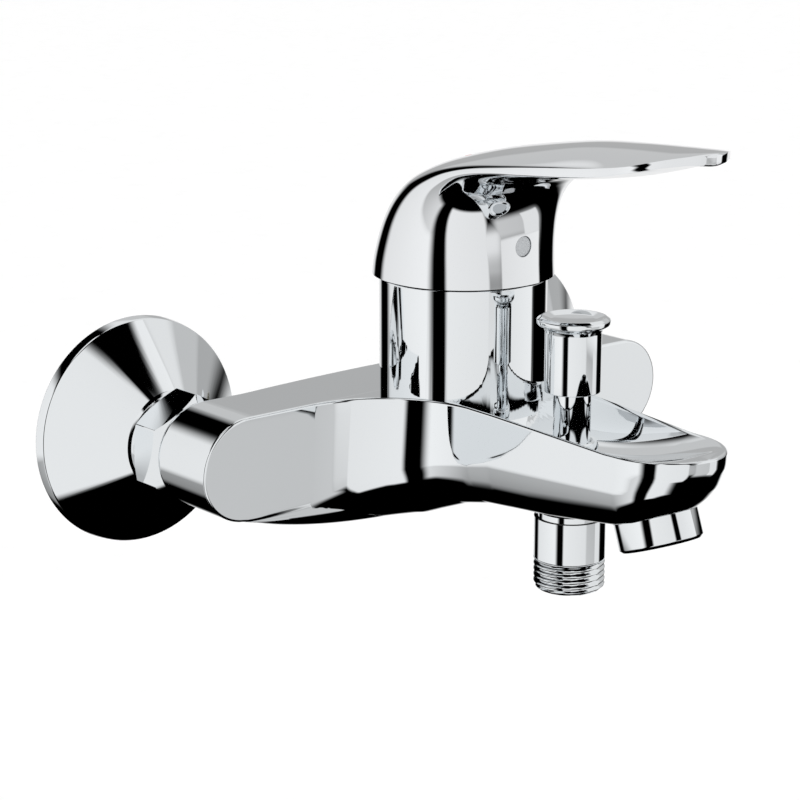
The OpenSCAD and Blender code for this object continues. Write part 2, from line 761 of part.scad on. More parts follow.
// A coil spring about an upright axis, from z0 to z1, as one closed tube.
module coil(y, r, wire, turns, z0, z1) {
    sides = 6;
    steps = 14 * turns;
    pts = [for (i = [0 : steps], j = [0 : sides - 1]) let (a = i * 360 / 14, b = j * 360 / sides,
        rr = r + wire / 2 * cos(b), z = z0 + wire / 2 + (z1 - z0 - wire) * i / steps)
        [rr * cos(a), rr * sin(a), z + wire / 2 * sin(b)]];
    walls = [for (i = [0 : steps - 1], j = [0 : sides - 1]) let (k = (j + 1) % sides)
        [i * sides + j, (i + 1) * sides + j, (i + 1) * sides + k, i * sides + k]];
    caps = [[for (j = [0 : sides - 1]) j], [for (j = [sides - 1 : -1 : 0]) steps * sides + j]];
    translate([0, -y, 0]) polyhedron(pts, concat(walls, caps), convexity = 10);
}

module diverter_spring() {
    at_inlets() color(steel) coil(diverter_y, 4.2, 0.8, 5,
        nipple_top + valve_t + 2 * washer_t + 0.2, bonnet_bottom - 0.1);
}

// ---- hose outlet and check valve ----

module hose_outlet() {
    shoulder = -belly + 2.2;
    thread_start = hose_thread_len - hose_end;
    at_inlets() color(chrome) turned_z([[neck_bore_r, nipple_top], [spigot_r, nipple_top],
        [spigot_r, shoulder], [hose_shank_r, shoulder], [hose_shank_r, thread_start],
        [hose_thread_r, thread_start - 0.3], [hose_thread_r, -hose_end + 1],
        [hose_thread_r - 1, -hose_end], [hose_bore_r, -hose_end],
        [hose_bore_r, check_z + check_len + 0.2], [neck_bore_r, check_z + check_len + 2]], diverter_y);
}

module check_valve_body() {
    r = hose_bore_r - slip_gap;
    top = check_z + check_len;
    at_inlets() color(white_plastic) {
        turned_z([[r - 1.2, check_z], [r, check_z], [r, top], [3.6, top], [3.6, top - 1.6],
            [r - 1.2, top - 1.6]], diverter_y);
        translate([0, -diverter_y, check_z]) difference() {
            linear_extrude(1.4) {
                circle(2.4);
                for (a = [0, 60, 120]) rotate(a) square([2 * r - 1.6, 1.4], center = true);
            }
            translate([0, 0, -1]) cylinder(r = 1.3, h = 4);
        }
    }
}

module check_valve_poppet() {
    top = check_z + check_len - 1.6 - slip_gap;
    at_inlets() color(black_plastic) turned_z([[0, check_z + 1.7], [1.2, check_z + 1.7],
        [1.2, top - 2.4], [4.6, top - 1.4], [4.6, top], [0, top]], diverter_y);
}

module check_valve_spring() {
    at_inlets() color(steel) coil(diverter_y, 2, 0.5, 4, check_z + 1.5,
        check_z + check_len - 4.3);
}

// ---- aerator ----

module aerator_housing() {
    top = aerator_sink + aerator_thread_len;
    at_inlets() color(chrome) at_aerator() rotate_extrude() polygon([[aerator_r - 2.2, -aerator_len],
        [aerator_r - 1, -aerator_len], [aerator_r, -aerator_len + 0.8], [aerator_r, aerator_sink - 0.1],
        [aerator_thread_r, aerator_sink - 0.1], [aerator_thread_r, top - 2],
        [aerator_thread_r - 1.2, top - 2], [aerator_thread_r - 1.2, -aerator_len + 2],
        [aerator_r - 2.2, -aerator_len + 1.2]]);
}

module aerator_insert() {
    r = aerator_thread_r - 1.2 - slip_gap;
    at_inlets() color(white_plastic) at_aerator() difference() {
        translate([0, 0, -aerator_len + 2.1]) cylinder(r = r, h = aerator_len + 2.5);
        translate([0, 0, -aerator_len + 3.6]) cylinder(r = r - 1.2, h = aerator_len + 3);
        for (ring = [1 : 3], i = [0 : ring * 6 - 1]) rotate(i * 60 / ring)
            translate([ring * 2.5, 0, -aerator_len]) cylinder(r = 0.8, h = 5);
    }
}

module aerator_seal() {
    at_inlets() color(rubber) at_aerator() translate([0, 0, aerator_sink + aerator_thread_len - 1.9])
        difference() {
            cylinder(r = aerator_thread_r - 0.1, h = 1.8);
            translate([0, 0, -1]) cylinder(r = 7.5, h = 4);
        }
}

body_casting();
wall_union(-1);  // left_wall_union
wall_union(1);  // right_wall_union
escutcheon(-1);  // left_escutcheon
escutcheon(1);  // right_escutcheon
union_nut(-1);  // left_union_nut
union_nut(1);  // right_union_nut
inlet_seal(-1);  // left_inlet_seal
inlet_seal(1);  // right_inlet_seal
inlet_tail(-1);  // left_inlet_tail
inlet_tail(1);  // right_inlet_tail
dirt_strainer(-1);  // left_dirt_strainer
dirt_strainer(1);  // right_dirt_strainer
cartridge_base();
cartridge_port_seals();
cartridge_housing();
cartridge_fixed_disc();
cartridge_moving_disc();
cartridge_disc_carrier();
cartridge_rotor();
cartridge_pivot_pin();
cartridge_stem();
cartridge_nut();
lever_handle();
lever_set_screw();
lever_screw_plug();
hot_mark();
cold_mark();
diverter_knob();
diverter_stem();
diverter_bonnet();
diverter_stem_seal();
diverter_valve();
diverter_washers();
diverter_spring();
hose_outlet();
check_valve_body();
check_valve_poppet();
check_valve_spring();
aerator_housing();
aerator_insert();
aerator_seal();
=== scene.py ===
"""Looks of a wall mounted single-lever bath mixer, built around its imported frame.

Lengths in the shape tables are millimetres; at() turns them into metres in the frame.
Heights are counted from the inlets' axis and depths from the wall, towards -Y.
"""

import math

import bmesh
import bpy
from mathutils import Matrix, Vector


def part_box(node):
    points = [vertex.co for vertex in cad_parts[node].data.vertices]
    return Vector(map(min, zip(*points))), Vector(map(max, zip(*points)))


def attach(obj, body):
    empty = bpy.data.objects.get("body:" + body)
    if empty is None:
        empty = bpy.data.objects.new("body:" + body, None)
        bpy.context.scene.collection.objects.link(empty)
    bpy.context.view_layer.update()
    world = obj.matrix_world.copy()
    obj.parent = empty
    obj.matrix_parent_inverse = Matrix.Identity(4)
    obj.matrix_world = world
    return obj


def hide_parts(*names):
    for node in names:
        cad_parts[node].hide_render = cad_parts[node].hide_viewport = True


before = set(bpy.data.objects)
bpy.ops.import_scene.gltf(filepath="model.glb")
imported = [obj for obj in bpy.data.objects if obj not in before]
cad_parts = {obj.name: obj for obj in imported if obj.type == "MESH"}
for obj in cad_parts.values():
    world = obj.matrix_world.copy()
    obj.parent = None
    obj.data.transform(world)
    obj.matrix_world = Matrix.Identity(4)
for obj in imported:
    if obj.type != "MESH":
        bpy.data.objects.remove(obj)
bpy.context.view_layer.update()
MM = 0.001
TURNS = 128  # segments round a turned piece
ROD_TURNS = 48  # and round a plain bar
ARC_STEPS = 5  # segments in a rounded corner
SHARP = 32  # edges past this many degrees stay crisp
WELD = 0.002 * MM  # vertices closer than this are one


# ---- places, read from the frame ----

def middle(node):
    """Middle of a node's box, in millimetres."""
    low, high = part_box(node)
    return (low + high) / 2 / MM


INLET_Z = middle("left_union_nut").z
INLET_X = middle("right_union_nut").x
NECK_Y = -middle("cartridge_housing").y
DIVERTER_Y = -middle("diverter_stem").y
NUT = [-v.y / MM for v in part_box("left_union_nut")][::-1]
WING_BACK = NUT[1] + 0.5
WING_FRONT = WING_BACK + 24.5
SPOUT_TIP = -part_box("body_casting")[0].y / MM
LEVER_TIP = -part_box("lever_handle")[0].y / MM
LEVER_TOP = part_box("lever_handle")[1].z / MM - INLET_Z
SKIRT_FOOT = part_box("lever_handle")[0].z / MM - INLET_Z
SKIRT_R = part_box("lever_handle")[1].x / MM
HOSE_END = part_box("hose_outlet")[0].z / MM - INLET_Z
KNOB_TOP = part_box("diverter_knob")[1].z / MM - INLET_Z


def at(x, depth, z):
    """A point in the frame from x, the depth from the wall and the height over the inlets."""
    return Vector((x * MM, -depth * MM, (z + INLET_Z) * MM))


# ---- materials ----

def linear(hex_colour):
    """An sRGB hex colour as linear RGBA."""
    parts = [int(hex_colour[i:i + 2], 16) / 255 for i in (1, 3, 5)]
    return [c / 12.92 if c <= 0.04045 else ((c + 0.055) / 1.055) ** 2.4 for c in parts] + [1]


def add(tree, kind, settings=None, **links):
    """Adds a node. settings are attributes or input values; links feed inputs from sockets."""
    made = tree.nodes.new("ShaderNode" + kind)
    for key, value in (settings or {}).items():
        if isinstance(key, str) and hasattr(made, key):
            setattr(made, key, value)
        else:
            made.inputs[key].default_value = value
    for key, socket in links.items():
        name = key.replace("_", " ").title() if not key.startswith("n") else int(key[1:])
        tree.links.new(socket, made.inputs[name])
    return made


def finish_of(name, colour, metallic, rough, grain_mm, rough_spread, bump, **more):
    """A surface whose roughness and height vary with a grain of a real size."""
    mat = bpy.data.materials.new(name)
    mat.use_nodes = True
    tree = mat.node_tree
    shader = tree.nodes["Principled BSDF"]
    shader.inputs["Metallic"].default_value = metallic
    for key, value in more.items():
        shader.inputs[key.replace("_", " ").title()].default_value = value
    place = add(tree, "TexCoord").outputs["Object"]
    grain = add(tree, "TexNoise", {"Scale": 1 / (grain_mm * MM), "Detail": 4.0}, vector=place)
    drift = add(tree, "TexNoise", {"Scale": 1 / (grain_mm * 12 * MM), "Detail": 2.0}, vector=place)
    tint = add(tree, "MapRange", {"To Min": 0.96, "To Max": 1.04}, value=drift.outputs["Fac"])
    base = add(tree, "HueSaturation", {"Color": linear(colour)}, value=tint.outputs["Result"])
    level = add(tree, "MapRange", {"To Min": max(rough - rough_spread, 0.0),
                                   "To Max": rough + rough_spread}, value=grain.outputs["Fac"])
    relief = add(tree, "Bump", {"Strength": bump, "Distance": 0.05 * MM},
                 height=grain.outputs["Fac"])
    tree.links.new(base.outputs["Color"], shader.inputs["Base Color"])
    tree.links.new(level.outputs["Result"], shader.inputs["Roughness"])
    tree.links.new(relief.outputs["Normal"], shader.inputs["Normal"])
    return mat


# Bright chromium over nickel on polished brass: a near-perfect mirror, slightly cool.
chrome = finish_of("chrome_plated_brass", "#eef1f3", 1.0, 0.028, 6.0, 0.012, 0.004)
# The same plate on the zinc lever, a touch warmer, with the faint swell of a buffed casting.
zinc = finish_of("chrome_plated_zinc", "#eef0f2", 1.0, 0.026, 9.0, 0.012, 0.005)
# Barrel-plated nickel on a turned fitting: bright but satin.
nickel = finish_of("satin_nickel_brass", "#b9b7ae", 1.0, 0.26, 0.8, 0.08, 0.15)
# Bare turned brass with fine tool marks.
brass = finish_of("turned_brass", "#cba35a", 1.0, 0.24, 0.5, 0.10, 0.20)
# Cold drawn stainless bar and spring wire.
steel = finish_of("drawn_stainless_steel", "#b8babc", 1.0, 0.22, 0.4, 0.08, 0.12)
# Moulded nitrile rubber: dull black with a fine tooth.
rubber = finish_of("nitrile_rubber", "#1c1c1d", 0.0, 0.62, 0.3, 0.10, 0.35)
# Natural acetal: milky white with a soft shine.
acetal = finish_of("natural_acetal", "#e9e8e0", 0.0, 0.34, 0.5, 0.08, 0.10)
# Black acetal of the cartridge.
black_acetal = finish_of("black_acetal", "#26272a", 0.0, 0.36, 0.5, 0.08, 0.10)
# Lapped alumina: dense, off-white and smooth.
alumina = finish_of("lapped_alumina", "#eceae2", 0.0, 0.18, 0.3, 0.05, 0.05)
# Grey moulded ABS of the little cover in the skirt.
grey_abs = finish_of("grey_moulded_abs", "#c9cccf", 0.0, 0.30, 0.3, 0.05, 0.08)
# Glossy enamel dots that show hot and cold.
red_enamel = finish_of("red_enamel", "#e1261c", 0.0, 0.22, 0.4, 0.04, 0.02, coat_weight=0.5)
blue_enamel = finish_of("blue_enamel", "#1f4fc4", 0.0, 0.22, 0.4, 0.04, 0.02, coat_weight=0.5)


# ---- making pieces ----

def piece(name, shape, body, material, stands_for=()):
    """Turns a bmesh into a finished piece that rides on a body."""
    bmesh.ops.remove_doubles(shape, verts=shape.verts, dist=WELD)
    bmesh.ops.recalc_face_normals(shape, faces=shape.faces)
    mesh = bpy.data.meshes.new(name)
    shape.to_mesh(mesh)
    shape.free()
    made = bpy.data.objects.new(name, mesh)
    bpy.context.scene.collection.objects.link(made)
    mesh.shade_smooth()
    mesh.set_sharp_from_angle(angle=math.radians(SHARP))
    made.data.materials.append(material)
    if body:
        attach(made, body)
        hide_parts(*stands_for)
    return made


def rounded(corners):
    """A polyline of (a, b) or (a, b, radius) corners with the radii turned into arcs."""
    out = []
    for i, corner in enumerate(corners):
        here = Vector(corner[:2])
        radius = corner[2] if len(corner) > 2 else 0
        if not radius or i in (0, len(corners) - 1):
            out.append(tuple(here))
            continue
        back = (Vector(corners[i - 1][:2]) - here).normalized()
        on = (Vector(corners[i + 1][:2]) - here).normalized()
        half = max(back.angle(on) / 2, 0.02)
        reach = min(radius / math.tan(half), (Vector(corners[i - 1][:2]) - here).length * 0.49,
                    (Vector(corners[i + 1][:2]) - here).length * 0.49)
        first, last = here + back * reach, here + on * reach
        for k in range(ARC_STEPS + 1):
            t = k / ARC_STEPS
            out.append(tuple(first * (1 - t) ** 2 + here * 2 * t * (1 - t) + last * t ** 2))
    return out


def turned(profile, x=0.0, depth=0.0, along="z", steps=TURNS):
    """Spins a profile of (radius, height) about an upright axis, or of (radius, depth)
    about an axis that stands out from the wall."""
    shape = bmesh.new()
    made = []
    for radius, height in profile:
        point = at(x + radius, depth, height) if along == "z" else at(x + radius, height, 0)
        made.append(shape.verts.new(point))
    edges = [shape.edges.new(pair) for pair in zip(made, made[1:])]
    centre = at(x, depth, 0)
    axis = Vector((0, 0, 1)) if along == "z" else Vector((0, 1, 0))
    bmesh.ops.spin(shape, geom=made + edges, cent=centre, axis=axis, angle=math.tau,
                   steps=steps, use_merge=True)
    return shape


def lofted(across, along, place):
    """A grid of across x along cells whose vertices go to place(i, j)."""
    shape = bmesh.new()
    made = bmesh.ops.create_grid(shape, x_segments=across, y_segments=along, size=1)["verts"]
    for vert in made:
        i = round((vert.co.x + 1) / 2 * across)
        j = round((vert.co.y + 1) / 2 * along)
        vert.co = place(i, j)
    return shape


def carve(target, tool_shape, operation):
    """Applies an exact boolean between a piece and a throwaway shape."""
    tool = piece("tool", tool_shape, None, chrome)
    cut = target.modifiers.new("cut", "BOOLEAN")
    cut.operation = operation
    cut.solver = "EXACT"
    cut.object = tool
    apply_modifiers(target)
    bpy.data.objects.remove(tool)


def apply_modifiers(target):
    """Bakes a piece's modifiers into its mesh."""
    seen = bpy.context.evaluated_depsgraph_get()
    mesh = bpy.data.meshes.new_from_object(target.evaluated_get(seen))
    target.modifiers.clear()
    target.data = mesh


def smoothed(target, sharp):
    """Smooth shading with sharp edges past an angle, weighted by face area."""
    target.data.shade_smooth()
    target.data.set_sharp_from_angle(angle=math.radians(sharp))
    even = target.modifiers.new("even", "WEIGHTED_NORMAL")
    even.mode = "FACE_AREA"
    even.keep_sharp = True
    apply_modifiers(target)


def ramp(value, low, high):
    """Smooth step from 0 at low to 1 at high."""
    t = min(max((value - low) / (high - low), 0), 1)
    return t * t * (3 - 2 * t)


def through(rows, t):
    """A smooth curve through rows of numbers, t from 0 to 1."""
    spot = t * (len(rows) - 1)
    i = min(int(spot), len(rows) - 2)
    f = spot - i
    four = [rows[min(max(i + k, 0), len(rows) - 1)] for k in (-1, 0, 1, 2)]
    return [(2 * b + (c - a) * f + (2 * a - 5 * b + 4 * c - d) * f * f
             + (3 * b - a - 3 * c + d) * f ** 3) / 2 for a, b, c, d in zip(*four)]


def along_rows(rows, key):
    """Linear look-up in a short list of (key, value) pairs."""
    for (a, b), (c, d) in zip(rows, rows[1:]):
        if key <= c:
            return b + (d - b) * min(max((key - a) / (c - a), 0), 1)
    return rows[-1][1]


# ---- the body casting ----

WING_R = 15.7  # half height of the wings and radius of their round ends
RIM_R = 0.8  # rounding of the top and front edges
BACK_EDGE = 1.4  # depth of the softer rounding at the back
FACE_LIFT = 4.5  # how much higher the faces' lower edge runs in the middle
BELLY = 13.2  # how much lower the wings hang in the middle
NECK_R = 25.2
NECK_TOP = SKIRT_FOOT - 0.6
ARMPIT_R = 32.0  # curve from the wings' front into the spout's sides
SPOUT_HALF = 20.4  # half width of the spout where it leaves the wings
TIP_HALF = 17.6  # and where its round tip starts
TIP_START = SPOUT_TIP - 20.6
TAPER_START, TAPER_LENGTH = 92, 56  # where the scoop starts to narrow, and over how much
LIP = RIM_R + 0.3  # width of the spout's rim
SCOOP_FLOOR = 4.9  # lowest height of the scoop
SCOOP_R, SCOOP_LOW = 150, 114  # radius of its long curve, and the depth of its lowest point
SCOOP_TIP = 19.4  # length of its round end
COVE_HEIGHT, COVE_WIDTH = 4, 5  # the small curve round the neck's foot
MID_Z = -3.0  # height of the line that the wings' front and back close on
TUCK = 0.02  # how far the spout's start hides inside the wing
DRAFT = 0.055  # how far the front face falls back for each millimetre below its top edge
UNDERCUT = 14.0  # how far the valley between wing and spout falls back under itself


def draft(z):
    """How far the front face stands back at a height."""
    return DRAFT * max(WING_R - RIM_R - z, 0)


def wing_station(steps):
    """Where each ring of the wing lies: (how far front, how far closed to the middle)."""
    closing = [0.1, 0.2, 0.3, 0.45, 0.6, 0.8, 1.0]
    open_rings = [(0.5 - 0.5 * math.cos(math.pi * k / steps), 0.0) for k in range(steps + 1)]
    return ([(0.0, m) for m in closing[::-1]] + open_rings + [(1.0, m) for m in closing])


def wing_outline():
    """Points round the wing seen from the front: (x, z, which side), clockwise from top left."""
    flat = 64
    span = [INLET_X * (2 * i / flat - 1) for i in range(flat + 1)]
    top = [(x, WING_R, "top") for x in span]
    right = [(INLET_X + WING_R * math.sin(a), WING_R * math.cos(a), "end")
             for a in [math.pi * i / 32 for i in range(1, 32)]]
    under = [(x, -WING_R, "under") for x in span[::-1]]
    left = [(-x, -z, side) for x, z, side in right]
    return top + right + under + left + top[:1]


def wing():
    """The two arms of the body: flat on top, round at the ends, hanging in a belly below."""
    outline = wing_outline()
    stations = wing_station(44)

    def place(i, j):
        x, z, side = outline[i]
        t, closed = stations[j]
        near = max(1 - (x / (INLET_X + 1)) ** 2, 0)
        back = WING_BACK - 3.6 * max(1 - (x / 60) ** 2, 0)
        depth = back + (WING_FRONT - back) * t
        if t > 0.5:
            edge = min(WING_FRONT - depth, RIM_R)
        else:
            edge = min(depth - back, BACK_EDGE) * RIM_R / BACK_EDGE
        inset = RIM_R - math.sqrt(max(RIM_R ** 2 - (RIM_R - edge) ** 2, 0))
        if side == "end":
            sign = 1 if x > 0 else -1
            out = (abs(x) - INLET_X) / WING_R
            x = sign * (INLET_X + (WING_R - inset) * out)
            z = z / WING_R * (WING_R - inset)
        elif side == "top":
            z = WING_R - inset
        else:
            face = WING_R - FACE_LIFT * max(1 - (x / INLET_X) ** 2, 0)
            hang = WING_R + BELLY * near ** 0.8 - face
            round_over = math.sqrt(max(1 - (2 * t - 1) ** 2, 0))
            z = -(face + hang * round_over) + inset * max(1 - hang / 3, 0)
        z = z + (MID_Z - z) * closed
        if side == "end":
            limit = math.copysign(INLET_X, x)
            x = x + (limit - x) * closed
        return at(x, depth - draft(z) * ramp(t, 0.9, 1.0), z)

    return lofted(len(outline) - 1, len(stations) - 1, place)


def spout_stations():
    """Rings of the spout: (half width, depth, outward normal's x and depth, how far round
    the tip)."""
    out = [(SPOUT_HALF + ARMPIT_R, WING_FRONT - 9 + 3 * k, 0.0, 1.0, 0.0) for k in range(3)]
    centre = WING_FRONT + ARMPIT_R - TUCK
    for a in range(90, -1, -1):
        c, s = math.cos(math.radians(a)), math.sin(math.radians(a))
        out.append((SPOUT_HALF + ARMPIT_R - ARMPIT_R * c, centre - ARMPIT_R * s, c, s, 0.0))
    steps = 76
    for k in range(1, steps + 1):
        t = k / steps
        out.append((SPOUT_HALF + (TIP_HALF - SPOUT_HALF) * t, centre + (TIP_START - centre) * t,
                    1.0, 0.0, 0.0))
    for a in range(3, 91, 3):
        c, s = math.cos(math.radians(a)), math.sin(math.radians(a))
        out.append((TIP_HALF * c, TIP_START, c, s, s))
    return out


def rim_height(depth):
    """Height of the spout's rim."""
    return along_rows([(0, WING_R - TUCK), (WING_FRONT - 1.2, WING_R - TUCK),
                       (WING_FRONT + 1, WING_R), (92, WING_R), (102, 15.4), (120, 14.5),
                       (145, 13.1), (170, 13.4)], depth)


def scoop_height(x, depth):
    """Height of the spout's top: a long scoop that flows up into the neck."""
    rim = rim_height(depth)
    taper = (TIP_HALF - SPOUT_HALF) * (depth - TAPER_START) / TAPER_LENGTH
    wide = min(SPOUT_HALF, SPOUT_HALF + taper) - LIP
    if depth > TIP_START:
        wide *= math.sqrt(max(1 - ((depth - TIP_START) / SCOOP_TIP) ** 2, 0))
    sweep = SCOOP_R - math.sqrt(SCOOP_R ** 2 - (depth - SCOOP_LOW) ** 2)
    bottom = min(SCOOP_FLOOR + sweep, rim - 0.2)
    scoop = bottom + (rim - bottom) * min((x / max(wide, 0.01)) ** 2, 1)
    away = math.hypot(x, depth - NECK_Y) - NECK_R
    cove = SCOOP_FLOOR + COVE_HEIGHT * max(1 - max(away, -1) / COVE_WIDTH, 0) ** 2
    return min(max(scoop, cove), rim)


def belly_height(depth):
    """Height of the underside along the middle."""
    return along_rows([(30, -10.0), (36, -20.0), (42, -26.0), (50, -28.0), (60, -25.8),
                       (66, -23.4), (76, -19.6), (88, -17.2), (100, -16.3), (114, -15.1),
                       (130, -13.0), (148, -10.4)], depth)


def side_foot(depth):
    """Height at which the spout's side turns under."""
    return along_rows([(60, -13.6), (62, -11.0), (68, -7.6), (80, -3.6), (100, 1.0),
                       (148, 3.0)], depth)


def tip_lean(z):
    """How much of the tip's reach is drawn back at a height."""
    return along_rows([(-11, 1.0), (-6.6, 0.66), (-1.3, 0.36), (3, 0.17), (9, 0.02),
                       (13.2, 0.0)], z)


def spout():
    """The spout, from inside the wings to its round tip."""
    tops, rims, sides, unders = 44, 6, 8, 26
    half = ([("top", i / tops) for i in range(tops)] + [("rim", i / rims) for i in range(rims)]
            + [("side", i / sides) for i in range(sides)]
            + [("under", i / unders) for i in range(unders + 1)])
    ring = half + [(kind, t, -1) for kind, t in half[-2:0:-1]] + half[:1]
    stations = spout_stations()

    def place(i, j):
        if j == 0:
            return at(0, WING_FRONT - 14, 0)
        kind, t = ring[i][:2]
        sign = -1 if len(ring[i]) > 2 else 1
        w, depth, nx, ny, tip = stations[j - 1]
        reach = SPOUT_TIP - TIP_START
        lip_depth = depth + tip * reach
        rim = rim_height(lip_depth)
        low = belly_height(depth - UNDERCUT * ny if tip == 0 else depth)
        start = side_foot(depth)
        if kind == "top":
            x = t * max(w - LIP * nx, 0)
            d = lip_depth - LIP * ny
            return at(sign * x, d, scoop_height(x, d) if d > 70 else rim)
        if kind == "rim":
            a = math.pi / 2 * (1 - t)
            inset = RIM_R * (1 - math.cos(a)) if a < math.pi / 2 else RIM_R
            z = rim - RIM_R * (1 - math.sin(a))
            return at(sign * max(w - inset * nx, 0), lip_depth - inset * ny, z)
        if kind == "side":
            z = rim - RIM_R + (start - rim + RIM_R) * t
            shrink = 0.0
        else:
            a = math.pi / 2 * t
            z = start + (low - start) * math.sin(a)
            shrink = 1 - math.cos(a) ** 0.9
        fall = (draft(z) + UNDERCUT * shrink) * ny if tip == 0 else 0.0
        return at(sign * w * (1 - shrink),
                  depth - fall + tip * reach * (1 - max(tip_lean(z), shrink)), z)

    shape = lofted(len(ring) - 1, len(stations), place)
    bmesh.ops.remove_doubles(shape, verts=shape.verts, dist=WELD)
    bmesh.ops.holes_fill(shape, edges=[e for e in shape.edges if e.is_boundary], sides=0)
    return shape


def rod(radius, depth_a, depth_b, x=0.0, z=0.0):
    """A plain round bar that stands out from the wall."""
    shape = turned([(0, depth_a), (radius, depth_a), (radius, depth_b), (0, depth_b)],
                   x, 0, "y", ROD_TURNS)
    bmesh.ops.translate(shape, verts=shape.verts, vec=Vector((0, 0, z * MM)))
    return shape


def tilted(shape, degrees, pivot):
    """Leans a shape forward about a pivot."""
    bmesh.ops.rotate(shape, verts=shape.verts, cent=pivot,
                     matrix=Matrix.Rotation(math.radians(-degrees), 3, "X"))
    return shape


AERATOR_DEPTH, AERATOR_Z, AERATOR_TILT = 148.6, -8.6, 20
aerator_pivot = at(0, AERATOR_DEPTH, AERATOR_Z)

casting = piece("body_casting_shell", wing(), "mixer_body", chrome,
                ["body_casting"])
carve(casting, spout(), "UNION")
carve(casting, turned(rounded([(0, -8), (NECK_R, -8), (NECK_R, NECK_TOP, 0.7),
                               (NECK_R - 3, NECK_TOP), (0, NECK_TOP)]), 0, NECK_Y), "UNION")
carve(casting, turned([(0, 11), (17.45, 11), (17.45, 36), (20.5, 36), (20.5, 60), (0, 60)],
                      0, NECK_Y), "DIFFERENCE")
carve(casting, turned([(0, -40), (10.5, -40), (10.5, -15.2), (9.2, -15.2), (9.2, -13.8),
                       (8.4, -13.8), (8.4, -6), (5.6, -6), (5.6, -0.2), (6.92, -0.2),
                       (6.92, 4.6), (7.75, 4.6), (7.75, 20), (0, 20)], 0, DIVERTER_Y),
      "DIFFERENCE")
carve(casting, tilted(turned([(0, AERATOR_Z - 20), (12.3, AERATOR_Z - 20),
                              (12.3, AERATOR_Z + 1.6), (10.9, AERATOR_Z + 1.6),
                              (10.9, AERATOR_Z + 7), (0, AERATOR_Z + 7)], 0, AERATOR_DEPTH),
                      AERATOR_TILT, aerator_pivot), "DIFFERENCE")
for side in (-1, 1):
    carve(casting, rod(10.92, 20, WING_BACK + 11, side * INLET_X), "DIFFERENCE")
smoothed(casting, 28)


# ---- supply side ----

CHAMFER = 1.2  # length of the lead-in at a thread's end


def thread(radius, pitch, cut, start, length, x=0.0, depth=0.0, along="z"):
    """A cut screw thread: a closed sleeve whose grooves wind round and run out at the end."""
    around, per_turn = 96, 12
    rows = math.ceil(length / pitch * per_turn)

    def place(i, j):
        if j == 0 or j == rows + 2:
            r, h = radius * 0.5, start + (0 if j == 0 else length)
        else:
            h = start + length * (j - 1) / rows
            wave = abs(((h - start) / pitch - i / around) % 1 - 0.5) * 2
            groove = ramp(wave, 0.12, 0.88)
            fade = ramp(h - start, 0.0, 0.9) * ramp(start + length - h, -0.4, 0.8)
            end = max(1 - (start + length - h) / CHAMFER, 0)
            r = radius - cut * groove * fade - end
        a = math.tau * i / around
        if along == "z":
            return at(x + r * math.cos(a), depth + r * math.sin(a), -h)
        return at(x + r * math.cos(a), -h, r * math.sin(a))

    return lofted(around, rows + 2, place)


def joined(*shapes):
    """Several closed shells in one mesh."""
    whole = bmesh.new()
    for shape in shapes:
        mesh = bpy.data.meshes.new("part")
        shape.to_mesh(mesh)
        shape.free()
        whole.from_mesh(mesh)
        bpy.data.meshes.remove(mesh)
    return whole


ESCUTCHEON_R = (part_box("left_escutcheon")[1].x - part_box("left_escutcheon")[0].x) / 2 / MM
ESCUTCHEON_DEPTH = -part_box("left_escutcheon")[0].y / MM
HALF_FLATS = 15
WALL_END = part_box("left_wall_union")[1].y / MM

